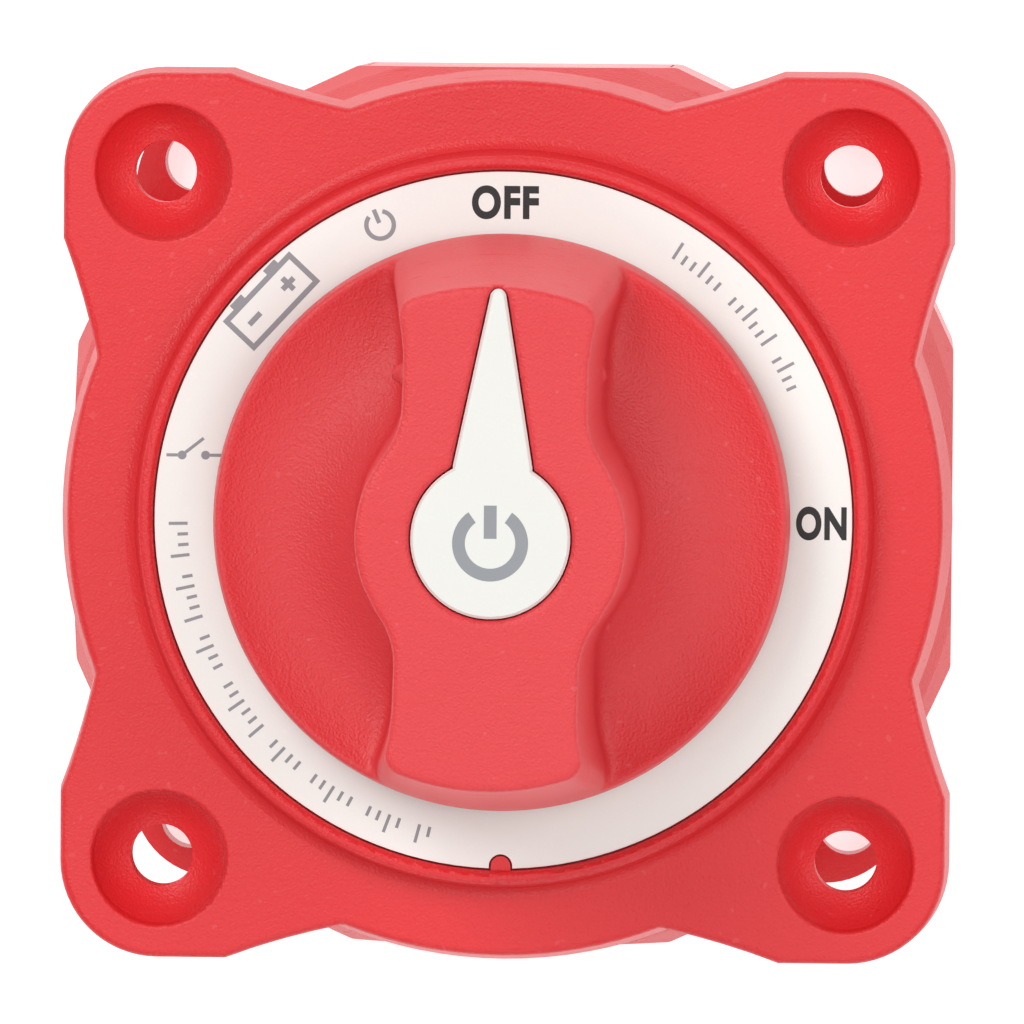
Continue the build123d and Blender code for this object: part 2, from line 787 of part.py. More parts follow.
with BuildPart() as pressure_spring:
    spring_height = spring_top_z - bridge_top_z - 2 * (spring_wire + flat_gap)
    with BuildLine() as coil:
        coil_start = (0, 0, bridge_top_z + spring_wire + flat_gap)
        Helix(spring_height / spring_turns, spring_height, spring_mean_radius, center=coil_start)
    with BuildSketch(Plane(coil.line @ 0, z_dir=coil.line % 0)):
        Circle(spring_wire)
    sweep(is_frenet=True)
finish(pressure_spring, "pressure_spring")

# Detent leaves, whose bumps drop into the rotor's notches at OFF and at ON

for leaf_side, leaf_turn in (("right", 0), ("left", 180)):
    with BuildPart() as detent_leaf:
        with BuildSketch(Plane.XY.offset(leaf_z)):
            add(leaf_outline(leaf_thickness).rotate(Axis.Z, leaf_turn))
        extrude(amount=leaf_height)
    finish(detent_leaf, f"detent_leaf_{leaf_side}")

# Contact base and studs

with BuildPart() as contact_base:
    with BuildSketch(Plane.XY.offset(base_z)):
        add(base_outline(0))
    extrude(amount=base_thickness)
    with BuildSketch(Plane.XY.offset(base_seat_z)):
        with Locations(*stud_places):
            Circle(base_seat_radius)
    extrude(amount=base_seat_height)
    with BuildSketch(Plane.XY.offset(split_z)):
        rib_y = stud_head_width / 2 + bridge_side_gap + rib_thickness / 2
        with GridLocations(stud_spacing, 2 * rib_y, 2, 2):
            Rectangle(rib_length, rib_thickness)
    extrude(amount=rib_height)
    with BuildSketch(Plane.XY.offset(barrier_z)):
        Rectangle(barrier_thickness, barrier_length)
    extrude(amount=base_z - barrier_z)
    with BuildSketch(Plane.XY.offset(base_seat_z)):
        with Locations(*stud_places):
            Circle(stud_radius + thread_gap)
        with GridLocations(2 * screw_offset, 2 * screw_offset, 2, 2):
            Circle(case_screw_radius + hole_gap)
    extrude(amount=split_z - base_seat_z, mode=Mode.SUBTRACT)
    with BuildSketch(Plane.XY.offset(split_z)):
        with Locations(*stud_places):
            Circle(stud_radius + 2 * (stud_seal_radius + seal_squeeze_gap))
    extrude(amount=-2 * (stud_seal_radius + seal_squeeze_gap), mode=Mode.SUBTRACT)
finish(contact_base, "contact_base")

with BuildPart() as stud_seals:
    with BuildSketch(Plane.XZ) as stud_seal_section:
        seal_reach = stud_radius + seal_squeeze_gap + stud_seal_radius
        with Locations((seal_reach, split_z - seal_squeeze_gap - stud_seal_radius)):
            Circle(stud_seal_radius)
    with BuildPart(mode=Mode.PRIVATE) as stud_seal:
        add(stud_seal_section.sketch)
        revolve(axis=Axis.Z)
    with Locations(*stud_places):
        add(stud_seal.part)
finish(stud_seals, "stud_seals")

for stud_side, (stud_x, stud_y) in zip(("left", "right"), stud_places):
    with BuildPart() as terminal_stud:
        with BuildSketch(Plane.XY.offset(split_z)):
            with Locations((stud_x, stud_y)):
                RectangleRounded(stud_head_width, stud_head_width, stud_head_round)
        extrude(amount=stud_head_thickness)
        with BuildSketch(Plane.XY.offset(split_z)):
            with Locations((stud_x, stud_y)):
                Circle(stud_radius)
        extrude(amount=stud_end_z - split_z)
        chamfer(terminal_stud.edges().group_by(Axis.Z)[0], stud_chamfer)
        # groove that parts the free end from the length under the nut
        with BuildSketch(Plane.XY.offset(stud_groove_z)):
            with Locations((stud_x, stud_y)):
                Circle(stud_radius)
                Circle(stud_groove_radius, mode=Mode.SUBTRACT)
        extrude(amount=stud_groove_width, mode=Mode.SUBTRACT)
    finish(terminal_stud, f"terminal_stud_{stud_side}")

with BuildPart() as fixed_tips:
    with BuildSketch(Plane.XY.offset(stud_head_top_z)):
        with Locations(*stud_places):
            Circle(fixed_tip_radius)
    extrude(amount=fixed_tip_thickness)
finish(fixed_tips, "fixed_tips")

with BuildPart() as flat_washers:
    with BuildSketch(Plane.XY.offset(washer_z)):
        with Locations(*stud_places):
            Circle(flat_washer_radius)
            Circle(stud_radius + hole_gap, mode=Mode.SUBTRACT)
    extrude(amount=flat_washer_thickness)
finish(flat_washers, "flat_washers")

with BuildPart() as lock_washers:
    with BuildSketch(Plane.XY.offset(lock_z)):
        with Locations(*stud_places):
            Circle(lock_washer_radius)
            Circle(stud_radius + hole_gap, mode=Mode.SUBTRACT)
            Rectangle(
                lock_washer_radius,
                lock_washer_cut,
                rotation=45,
                align=(Align.MIN, Align.CENTER),
                mode=Mode.SUBTRACT,
            )
    extrude(amount=lock_washer_thickness)
finish(lock_washers, "lock_washers")

with BuildPart() as stud_nuts:
    with BuildSketch(Plane.XY.offset(nut_z)):
        with Locations(*stud_places):
            RegularPolygon(nut_across_flats / 2, 6, major_radius=False)
    extrude(amount=nut_height)
    with BuildSketch(Plane.XZ) as nut_profile:
        with BuildLine():
            nut_corner_radius = nut_across_flats / sqrt(3)
            Polyline(
                (stud_radius + thread_gap, nut_z),
                (nut_across_flats / 2, nut_z),
                (nut_corner_radius, nut_z + nut_chamfer),
                (nut_corner_radius, nut_z + nut_height - nut_chamfer),
                (nut_across_flats / 2, nut_z + nut_height),
                (stud_radius + thread_gap, nut_z + nut_height),
                close=True,
            )
        make_face()
    with BuildPart(mode=Mode.PRIVATE) as nut_turning:
        add(nut_profile.sketch)
        revolve(axis=Axis.Z)
    with BuildPart(mode=Mode.PRIVATE) as nut_turnings:
        with Locations(*stud_places):
            add(nut_turning.part)
    add(nut_turnings.part, mode=Mode.INTERSECT)
finish(stud_nuts, "stud_nuts")

with BuildPart() as base_gasket:
    with BuildSketch(Plane.XY.offset(split_z)):
        add(base_outline(0))
        Circle(cavity_radius, mode=Mode.SUBTRACT)
        with GridLocations(2 * screw_offset, 2 * screw_offset, 2, 2):
            Circle(case_boss_radius)
            Circle(case_screw_radius + hole_gap, mode=Mode.SUBTRACT)
    extrude(amount=gasket_thickness)
finish(base_gasket, "base_gasket")

# Rear housing: terminal chamber with a cable exit on each side

with BuildPart() as rear_housing:
    add(body_blank.part)
    split(bisect_by=Plane.XY.offset(split_z), keep=Keep.BOTTOM)
    with BuildSketch(Plane.XY.offset(base_z)):
        add(base_outline(seat_gap))
    extrude(amount=base_thickness, mode=Mode.SUBTRACT)
    with BuildSketch(Plane.XY.offset(shelf_z)):
        Circle(shelf_radius)
        with GridLocations(2 * screw_offset, 2 * screw_offset, 2, 2):
            Circle(case_boss_radius, mode=Mode.SUBTRACT)
    extrude(amount=shelf_thickness, mode=Mode.SUBTRACT)
    with BuildSketch(Plane.XY.offset(ledge_z)):
        add(chamber_outline(0))
    extrude(amount=shelf_z - ledge_z, mode=Mode.SUBTRACT)
    with BuildSketch():
        add(chamber_outline(cover_ledge))
    extrude(amount=ledge_z, mode=Mode.SUBTRACT)
    with BuildSketch(Plane.XY.offset(shelf_z)):
        with GridLocations(2 * screw_offset, 2 * screw_offset, 2, 2):
            Circle(case_screw_radius + hole_gap)
    extrude(amount=shelf_thickness, mode=Mode.SUBTRACT)
    with BuildSketch():
        with GridLocations(hole_spacing, hole_spacing, 2, 2):
            Circle(hole_radius)
    extrude(amount=foot_thickness, mode=Mode.SUBTRACT)
    fillet(rear_housing.faces().sort_by(Axis.Z)[0].outer_wire().edges(), rear_edge_round)
    for exit_turn in sides.values():
        exit_face = side_plane(exit_turn)
        with BuildSketch(exit_face):
            with Locations((0, exit_mid_z)):
                Rectangle(exit_width, exit_height)
        extrude(amount=-(2 * bulge_step + wall), mode=Mode.SUBTRACT)
        with BuildSketch(exit_face):
            with Locations((0, exit_mid_z)):
                RectangleRounded(exit_width + 2 * panel_lip, exit_height + 2 * panel_lip, panel_corner)
        extrude(amount=-panel_thickness, mode=Mode.SUBTRACT)
finish(rear_housing, "rear_housing")

for panel_side, panel_turn in sides.items():
    panel_face = side_plane(panel_turn)
    with BuildPart() as side_panel:
        with BuildSketch(panel_face):
            with Locations((0, exit_mid_z)):
                RectangleRounded(
                    exit_width + 2 * (panel_lip - panel_gap),
                    exit_height + 2 * (panel_lip - panel_gap),
                    panel_corner - panel_gap,
                )
        extrude(amount=-(panel_thickness - panel_gap / 2))
        with BuildSketch(panel_face):
            with Locations((0, exit_mid_z)):
                Rectangle(exit_width - 2 * panel_gap, exit_height - 2 * panel_gap)
        extrude(amount=-(panel_thickness + panel_plug_depth))
    finish(side_panel, f"side_panel_{panel_side}")

with BuildPart() as rear_cover:
    with BuildSketch(Plane.XY.offset(cover_recess)):
        add(chamber_outline(cover_ledge - cover_gap))
    extrude(amount=cover_thickness)
    with BuildSketch(Plane.XY.offset(cover_top_z)):
        with GridLocations(2 * hook_x - hook_thickness, 2 * hook_y, 2, 2):
            Rectangle(hook_thickness, hook_width)
    extrude(amount=hook_height)
    with BuildSketch(Plane.XY.offset(cover_recess)):
        with GridLocations(0, 2 * bulge_half - 2 * wall, 1, 2):
            Rectangle(pull_notch_width, 2 * pull_notch_depth)
    extrude(amount=cover_thickness, mode=Mode.SUBTRACT)
finish(rear_cover, "rear_cover")

with BuildPart() as case_screws:
    case_screw_length = shelf_thickness + base_thickness + gasket_thickness + case_screw_grip
    with BuildSketch(Plane.XY.offset(shelf_z)):
        with GridLocations(2 * screw_offset, 2 * screw_offset, 2, 2):
            Circle(case_screw_radius)
    extrude(amount=case_screw_length)
    with BuildSketch(Plane.XY.offset(shelf_z)):
        with GridLocations(2 * screw_offset, 2 * screw_offset, 2, 2):
            Circle(case_head_radius)
    extrude(amount=-case_head_height)
finish(case_screws, "case_screws")
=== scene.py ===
import math

import bmesh
import bpy
from mathutils import Matrix, Vector
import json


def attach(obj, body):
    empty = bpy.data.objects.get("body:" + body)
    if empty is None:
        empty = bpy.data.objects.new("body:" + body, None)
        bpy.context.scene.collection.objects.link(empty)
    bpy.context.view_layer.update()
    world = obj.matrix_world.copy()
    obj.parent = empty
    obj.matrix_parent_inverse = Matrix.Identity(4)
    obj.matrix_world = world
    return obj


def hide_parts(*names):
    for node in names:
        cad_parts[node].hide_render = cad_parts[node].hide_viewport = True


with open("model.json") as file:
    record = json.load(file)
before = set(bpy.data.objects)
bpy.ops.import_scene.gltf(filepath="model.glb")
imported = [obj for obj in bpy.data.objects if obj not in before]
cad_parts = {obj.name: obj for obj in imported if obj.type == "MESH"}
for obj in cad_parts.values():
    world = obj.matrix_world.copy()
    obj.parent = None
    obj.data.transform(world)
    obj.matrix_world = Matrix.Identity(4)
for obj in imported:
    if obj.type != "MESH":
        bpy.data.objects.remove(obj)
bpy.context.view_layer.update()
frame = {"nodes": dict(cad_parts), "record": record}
mm = 0.001
print("frame loaded")

# camera, looking down on the face from a little above and to the right

cameraSet = {
    "place": (0.031307, 0.046520, 0.952648),
    "forward": (-0.03375675, -0.05054089, -0.99815134),
    "up": (-0.00920879, 0.99869387, -0.05025692),
    "lens": 416.85,
    "sensor": 36.0,
}


def makeCamera(s):
    data = bpy.data.cameras.new("camera")
    data.lens = s["lens"]
    data.sensor_width = s["sensor"]
    data.clip_start = 0.01
    cam = bpy.data.objects.new("camera", data)
    bpy.context.scene.collection.objects.link(cam)
    forward = Vector(s["forward"]).normalized()
    side = forward.cross(Vector(s["up"])).normalized()
    turn = Matrix((side, side.cross(forward), -forward)).transposed().to_4x4()
    cam.matrix_world = Matrix.Translation(s["place"]) @ turn
    bpy.context.scene.camera = cam


makeCamera(cameraSet)

# node helpers


def newGroup(name, inputs, outputs):
    group = bpy.data.node_groups.new(name, "ShaderNodeTree")
    for label, value in inputs:
        sock = group.interface.new_socket(label, in_out="INPUT", socket_type="NodeSocketFloat")
        sock.default_value = value
    for label in outputs:
        group.interface.new_socket(label, in_out="OUTPUT", socket_type="NodeSocketFloat")
    return group, group.nodes.new("NodeGroupInput"), group.nodes.new("NodeGroupOutput")


def feed(tree, sock, value):
    if isinstance(value, bpy.types.NodeSocket):
        tree.links.new(value, sock)
    else:
        sock.default_value = value


def calc(tree, operation, a, b=0.0):
    node = tree.nodes.new("ShaderNodeMath")
    node.operation = operation
    feed(tree, node.inputs[0], a)
    feed(tree, node.inputs[1], b)
    return node.outputs[0]


def noise(tree, vector, scale, detail=2.0):
    node = tree.nodes.new("ShaderNodeTexNoise")
    feed(tree, node.inputs["Vector"], vector)
    feed(tree, node.inputs["Scale"], scale)
    node.inputs["Detail"].default_value = detail
    return node.outputs["Fac"]


def spread(tree, value, low, high, toLow=0.0, toHigh=1.0):
    node = tree.nodes.new("ShaderNodeMapRange")
    pairs = zip(("Value", "From Min", "From Max", "To Min", "To Max"), (value, low, high, toLow, toHigh))
    for label, given in pairs:
        feed(tree, node.inputs[label], given)
    return node.outputs["Result"]


def objectCoords(tree):
    return tree.nodes.new("ShaderNodeTexCoord").outputs["Object"]


def makeGrainGroup():
    # spark-eroded mould grain: fine bumps, with a coarser roll under them
    group, ins, outs = newGroup("mouldGrain", [("Fineness", 3400.0)], ["Height", "Fleck"])
    place = objectCoords(group)
    fine = noise(group, place, ins.outputs["Fineness"], 2.5)
    roll = noise(group, place, calc(group, "MULTIPLY", ins.outputs["Fineness"], 0.27), 1.0)
    cells = group.nodes.new("ShaderNodeTexVoronoi")
    cells.feature = "SMOOTH_F1"
    feed(group, cells.inputs["Vector"], place)
    feed(group, cells.inputs["Scale"], calc(group, "MULTIPLY", ins.outputs["Fineness"], 0.9))
    peaks = spread(group, cells.outputs["Distance"], 0.05, 0.6, 1.0, 0.0)
    mixed = calc(group, "ADD", calc(group, "MULTIPLY", fine, 0.55), calc(group, "MULTIPLY", peaks, 0.35))
    feed(group, outs.inputs["Height"], calc(group, "ADD", mixed, calc(group, "MULTIPLY", roll, 0.3)))
    feed(group, outs.inputs["Fleck"], spread(group, fine, 0.56, 0.72))
    return group


def makeHandlingGroup():
    # slow change from handling, thin rub marks and a few specks of dust
    group, ins, outs = newGroup("handling", [("Smudge Size", 60.0)], ["Smudge", "Rubs", "Specks"])
    place = objectCoords(group)
    feed(group, outs.inputs["Smudge"], spread(group, noise(group, place, ins.outputs["Smudge Size"], 3.0), 0.3, 0.7))
    stretch = group.nodes.new("ShaderNodeMapping")
    stretch.inputs["Rotation"].default_value = (0.0, 0.0, 0.6)
    stretch.inputs["Scale"].default_value = (90.0, 2600.0, 900.0)
    feed(group, stretch.inputs["Vector"], place)
    feed(group, outs.inputs["Rubs"], spread(group, noise(group, stretch.outputs["Vector"], 1.0, 1.0), 0.66, 0.74))
    feed(group, outs.inputs["Specks"], spread(group, noise(group, place, 1500.0, 0.0), 0.80, 0.84))
    return group


grainGroup = makeGrainGroup()
handlingGroup = makeHandlingGroup()

# finishes. Bump depths are in metres.


def finish(name, s):
    mat = bpy.data.materials.new(name)
    mat.use_nodes = True
    tree = mat.node_tree
    shader = tree.nodes["Principled BSDF"]
    shader.inputs["Metallic"].default_value = s.get("metal", 0.0)
    shader.inputs["Coat Weight"].default_value = s.get("coat", 0.0)
    shader.inputs["Coat Roughness"].default_value = s.get("coatRough", 0.1)
    shader.inputs["Specular IOR Level"].default_value = s.get("specular", 0.5)
    grain = tree.nodes.new("ShaderNodeGroup")
    grain.node_tree = grainGroup
    grain.inputs["Fineness"].default_value = s.get("fineness", 3400.0)
    handling = tree.nodes.new("ShaderNodeGroup")
    handling.node_tree = handlingGroup
    handling.inputs["Smudge Size"].default_value = s.get("smudgeSize", 60.0)

    colour = tree.nodes.new("ShaderNodeMix")
    colour.data_type = "RGBA"
    feed(tree, colour.inputs["Factor"], calc(tree, "MULTIPLY", handling.outputs["Smudge"], s.get("smudge", 0.5)))
    colour.inputs["A"].default_value = (*s["colour"], 1.0)
    colour.inputs["B"].default_value = (*s.get("shade", s["colour"]), 1.0)
    flecked = tree.nodes.new("ShaderNodeMix")
    flecked.data_type = "RGBA"
    marks = calc(tree, "MULTIPLY", grain.outputs["Fleck"], s.get("fleck", 0.1))
    marks = calc(tree, "ADD", marks, calc(tree, "MULTIPLY", handling.outputs["Specks"], s.get("specks", 0.3)))
    marks = calc(tree, "ADD", marks, calc(tree, "MULTIPLY", handling.outputs["Rubs"], s.get("rubs", 0.1)))
    feed(tree, flecked.inputs["Factor"], marks)
    feed(tree, flecked.inputs["A"], colour.outputs["Result"])
    flecked.inputs["B"].default_value = (*s.get("light", s["colour"]), 1.0)
    feed(tree, shader.inputs["Base Color"], flecked.outputs["Result"])

    rough = calc(tree, "MULTIPLY", handling.outputs["Smudge"], s.get("roughChange", 0.08))
    rough = calc(tree, "ADD", rough, calc(tree, "MULTIPLY", handling.outputs["Rubs"], 0.12))
    feed(tree, shader.inputs["Roughness"], calc(tree, "ADD", rough, s.get("rough", 0.45)))

    bump = tree.nodes.new("ShaderNodeBump")
    bump.inputs["Strength"].default_value = s.get("strength", 1.0)
    bump.inputs["Distance"].default_value = s.get("depth", 0.00003)
    feed(tree, bump.inputs["Height"], grain.outputs["Height"])
    feed(tree, shader.inputs["Normal"], bump.outputs["Normal"])
    return mat


redCaseSet = {
    "colour": (0.735, 0.021, 0.027),
    "shade": (0.70, 0.022, 0.029),
    "light": (0.86, 0.30, 0.30),
    "rough": 0.38,
    "fineness": 5600.0,
    "depth": 0.00007,
    "fleck": 0.02,
    "specks": 0.10,
    "rubs": 0.0,
}
redBodySet = {
    **redCaseSet,
    "rough": 0.22,
    "depth": 0.000012,
    "fleck": 0.05,
}
# knob red: the same red plastic as the case, its colour lifted a little paler and pinker as painted sheen, standing
# in for the haze of reflected light in the finger wells
redKnobSet = {
    "colour": (0.74, 0.042, 0.050),
    "shade": (0.70, 0.034, 0.042),
    "light": (0.88, 0.40, 0.40),
    "rough": 0.40,
    "fineness": 5600.0,
    "depth": 0.00008,
    "fleck": 0.02,
    "specks": 0.1,
    "rubs": 0.0,
}
labelSet = {
    "colour": (0.87, 0.90, 0.86),
    "shade": (0.84, 0.865, 0.825),
    "light": (0.93, 0.94, 0.92),
    "rough": 0.42,
    "fineness": 5200.0,
    "depth": 0.000012,
    "fleck": 0.3,
}
pointerSet = {
    "colour": (0.79, 0.785, 0.745),
    "shade": (0.75, 0.745, 0.705),
    "light": (0.86, 0.86, 0.84),
    "rough": 0.40,
    "fineness": 4200.0,
    "depth": 0.00001,
    "fleck": 0.2,
}
blackInkSet = {"colour": (0.012, 0.012, 0.013), "shade": (0.02, 0.02, 0.02), "rough": 0.5, "depth": 0.000004}
greyInkSet = {"colour": (0.27, 0.28, 0.30), "shade": (0.33, 0.34, 0.36), "rough": 0.5, "depth": 0.000004}
mouldingSet = {
    "colour": (0.022, 0.022, 0.024),
    "shade": (0.034, 0.034, 0.036),
    "light": (0.10, 0.10, 0.10),
    "rough": 0.5,
    "fineness": 2600.0,
    "depth": 0.00003,
    "fleck": 0.25,
}
rubberSet = {
    "colour": (0.014, 0.014, 0.014),
    "shade": (0.024, 0.024, 0.024),
    "light": (0.09, 0.09, 0.09),
    "rough": 0.68,
    "specular": 0.3,
    "fineness": 3600.0,
    "depth": 0.00002,
}
steelSet = {
    "colour": (0.60, 0.60, 0.585),
    "shade": (0.50, 0.50, 0.49),
    "light": (0.75, 0.75, 0.74),
    "metal": 1.0,
    "rough": 0.27,
    "roughChange": 0.14,
    "fineness": 2400.0,
    "depth": 0.000006,
    "rubs": 0.4,
}
copperSet = {
    "colour": (0.78, 0.36, 0.22),
    "shade": (0.60, 0.26, 0.15),
    "light": (0.9, 0.52, 0.36),
    "metal": 1.0,
    "rough": 0.30,
    "roughChange": 0.2,
    "fineness": 1800.0,
    "depth": 0.000008,
    "smudgeSize": 180.0,
}
tinSet = {
    "colour": (0.74, 0.73, 0.70),
    "shade": (0.62, 0.61, 0.58),
    "light": (0.85, 0.84, 0.82),
    "metal": 1.0,
    "rough": 0.24,
    "roughChange": 0.16,
    "fineness": 2100.0,
    "depth": 0.000006,
    "smudgeSize": 200.0,
}
silverSet = {
    "colour": (0.88, 0.87, 0.84),
    "shade": (0.78, 0.76, 0.72),
    "light": (0.93, 0.92, 0.90),
    "metal": 1.0,
    "rough": 0.22,
    "depth": 0.000004,
    "smudgeSize": 300.0,
}

redCase = finish("redCaseMoulding", redCaseSet)
redBody = finish("redBodyMoulding", redBodySet)
redKnob = finish("redKnobMoulding", redKnobSet)
labelWhite = finish("labelWhite", labelSet)
pointerWhite = finish("pointerWhite", pointerSet)
blackInk = finish("blackInk", blackInkSet)
greyInk = finish("greyInk", greyInkSet)
moulding = finish("blackMoulding", mouldingSet)
rubber = finish("blackRubber", rubberSet)
steel = finish("stainlessSteel", steelSet)
copper = finish("bareCopper", copperSet)
tin = finish("tinnedCopper", tinSet)
silver = finish("silverAlloy", silverSet)

slotFinish = {
    "red_case": redCase,
    "red_knob": redKnob,
    "label": labelWhite,
    "pointer": pointerWhite,
    "black_moulding": moulding,
    "rubber": rubber,
    "steel": steel,
    "copper": copper,
    "tinned_copper": tin,
    "silver_contact": silver,
}
for part in frame["record"]["subparts"]:
    node = frame["nodes"][part["node"]]
    for place in node.material_slots:
        place.material = slotFinish[part["material_slot"]]
for name in ("rear_housing", "rear_cover", "side_panel_right", "side_panel_top", "side_panel_left", "side_panel_bottom"):
    for place in frame["nodes"][name].material_slots:
        place.material = redBody
print("finishes made")

# piece helpers


def newPiece(name, mesh, mat, body, replaced=()):
    obj = bpy.data.objects.new(name, mesh)
    bpy.context.scene.collection.objects.link(obj)
    mesh.materials.clear()
    mesh.materials.append(mat)
    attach(obj, body)
    if replaced:
        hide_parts(*replaced)
    return obj


def mergedCopy(node):
    bm = bmesh.new()
    bm.from_mesh(frame["nodes"][node].data)
    bmesh.ops.remove_doubles(bm, verts=bm.verts, dist=0.002 * mm)
    return bm


def bake(bm, name, smooth=True):
    mesh = bpy.data.meshes.new(name)
    bm.to_mesh(mesh)
    bm.free()
    for face in mesh.polygons:
        face.use_smooth = smooth
    return mesh


def applied(obj):
    # the mesh with its modifiers worked in
    graph = bpy.context.evaluated_depsgraph_get()
    return bpy.data.meshes.new_from_object(obj.evaluated_get(graph))


# knob, with the mould's rounds at the foot of the grip and along the rim

knobSet = {
    "voxel": 0.27 * mm,
    "soften": 2,
    "footHigh": 56.4 * mm,
    "footReach": 11.6 * mm,
    "footPasses": 30,
    "rimLow": 52.0 * mm,
    "rimRadius": 20.7 * mm,
    "rimPasses": 3,
    "pipRadius": 0.75 * mm,
    "pipPlace": (7.45 * mm, 11.6 * mm, 58.0 * mm),
}


def makeKnob(s):
    bm = mergedCopy("knob")
    x, y, z = s["pipPlace"]
    for side in (-1, 1):
        spot = Matrix.Translation((side * x, y, z))
        bmesh.ops.create_icosphere(bm, subdivisions=3, radius=s["pipRadius"], matrix=spot)
    rough = bpy.data.objects.new("knobRough", bake(bm, "knobRough"))
    bpy.context.scene.collection.objects.link(rough)
    remesh = rough.modifiers.new("remesh", "REMESH")
    remesh.mode = "VOXEL"
    remesh.voxel_size = s["voxel"]
    mesh = applied(rough)
    bpy.data.objects.remove(rough)
    bm = bmesh.new()
    bm.from_mesh(mesh)

    def soften(verts, passes):
        for _ in range(passes):
            bmesh.ops.smooth_vert(bm, verts=verts, factor=0.5, use_axis_x=True, use_axis_y=True, use_axis_z=True)

    soften(bm.verts, s["soften"])
    top = s["rimLow"]
    foot = [v for v in bm.verts if top < v.co.z < s["footHigh"] and abs(v.co.x) < s["footReach"] and v.co.xy.length < s["rimRadius"]]
    soften(foot, s["footPasses"])
    soften([v for v in bm.verts if v.co.z > top and v.co.xy.length > s["rimRadius"]], s["rimPasses"])
    mesh = bake(bm, "knob_grip")
    print("knob faces", len(mesh.polygons))
    newPiece("knob_grip", mesh, redKnob, "knob", ["knob"])


makeKnob(knobSet)

# printing: thin raised ink. A mark is drawn flat about the origin, then placed.

inkSet = {"thick": 0.012 * mm, "labelTop": 47.1 * mm, "pointerTop": 74.6 * mm}


def bar(bm, start, end, width):
    start, end = Vector((*start, 0.0)), Vector((*end, 0.0))
    along = end - start
    turn = Matrix.Rotation(math.atan2(along.y, along.x), 4, "Z")
    size = Matrix.Diagonal((along.length, width, 1.0, 1.0))
    bmesh.ops.create_grid(bm, x_segments=1, y_segments=1, size=0.5, matrix=Matrix.Translation((start + end) / 2) @ turn @ size)


def arcBand(bm, radius, width, start, size, centre=(0.0, 0.0)):
    # a flat band along an arc, angles in degrees
    hub = Vector((*centre, 0.0))
    turn = Matrix.Rotation(math.radians(start), 4, "Z")
    ends = [bmesh.ops.create_vert(bm, co=hub + turn @ Vector((r, 0.0, 0.0)))["vert"][0] for r in (radius - width / 2, radius + width / 2)]
    edge = bm.edges.new(ends)
    steps = max(3, round(abs(size) / 6))
    bmesh.ops.spin(bm, geom=[*ends, edge], cent=hub, axis=(0.0, 0.0, 1.0), angle=math.radians(size), steps=steps, use_merge=abs(size) == 360)


def disc(bm, centre, radius):
    bmesh.ops.create_circle(bm, cap_ends=True, segments=20, radius=radius, matrix=Matrix.Translation((*centre, 0.0)))


def letters(words, size, weight, squeeze):
    curve = bpy.data.curves.new(words, "FONT")
    curve.body = words
    curve.size = size
    curve.offset = weight
    curve.align_x = "CENTER"
    curve.align_y = "CENTER"
    curve.space_character = 1.12
    obj = bpy.data.objects.new(words, curve)
    bpy.context.scene.collection.objects.link(obj)
    mesh = applied(obj)
    bpy.data.objects.remove(obj)
    bm = bmesh.new()
    bm.from_mesh(mesh)
    middle = [sum(f(v.co[i] for v in bm.verts) for f in (min, max)) / 2 for i in (0, 1)]
    bmesh.ops.translate(bm, verts=bm.verts, vec=(-middle[0], -middle[1], 0.0))
    bmesh.ops.scale(bm, verts=bm.verts, vec=(squeeze, 1.0, 1.0))
    return bm


def atAngle(radius, angle, upright=False):
    # polar place on the dial; a mark's top points outwards unless it stands upright
    spin = Matrix.Rotation(math.radians(angle), 4, "Z")
    place = Matrix.Translation(spin @ Vector((radius, 0.0, 0.0)))
    return place if upright else place @ Matrix.Rotation(math.radians(angle - 90), 4, "Z")


def stamp(target, mark, place):
    # moves a finished mark into the print being built
    bmesh.ops.transform(mark, matrix=place, verts=mark.verts)
    mesh = bpy.data.meshes.new("mark")
    mark.to_mesh(mesh)
    mark.free()
    target.from_mesh(mesh)


def inked(bm, name, height, mat, body):
    bmesh.ops.remove_doubles(bm, verts=bm.verts, dist=0.0005 * mm)
    bmesh.ops.recalc_face_normals(bm, faces=bm.faces)
    for face in bm.faces:
        if face.normal.z < 0:
            face.normal_flip()
    bmesh.ops.translate(bm, verts=bm.verts, vec=(0.0, 0.0, height + 0.0002 * mm))
    grown = bmesh.ops.extrude_face_region(bm, geom=bm.faces[:])
    tops = [v for v in grown["geom"] if isinstance(v, bmesh.types.BMVert)]
    bmesh.ops.translate(bm, verts=tops, vec=(0.0, 0.0, inkSet["thick"]))
    bmesh.ops.recalc_face_normals(bm, faces=bm.faces)
    newPiece(name, bake(bm, name, smooth=False), mat, body)


legendSet = {"size": 3.3 * mm, "weight": 0.14 * mm, "radius": 24.35 * mm, "offSqueeze": 0.82, "onSqueeze": 0.72}


def makeLegends(s):
    bm = bmesh.new()
    stamp(bm, letters("OFF", s["size"], s["weight"], s["offSqueeze"]), atAngle(s["radius"], 90))
    stamp(bm, letters("ON", s["size"], s["weight"], s["onSqueeze"]), atAngle(s["radius"], 0, True))
    inked(bm, "legend_print", inkSet["labelTop"], blackInk, "case")


makeLegends(legendSet)

dialSet = {
    "line": 0.24 * mm,
    "tall": 1.45 * mm,
    "short": 0.8 * mm,
    "upperRadius": 24.6 * mm,
    "lowerRadius": 24.9 * mm,
    "pitch": 1.9,
    "bold": 0.42 * mm,
    "batteryWide": 7.4 * mm,
    "batteryHigh": 3.3 * mm,
    "poleArm": 0.62 * mm,
    "poleX": 0.9 * mm,
    "poleLow": -0.45 * mm,
    "poleDot": 0.34 * mm,
    "poleFar": 2.1 * mm,
    "leverX": 0.75 * mm,
    "leverY": 0.85 * mm,
}


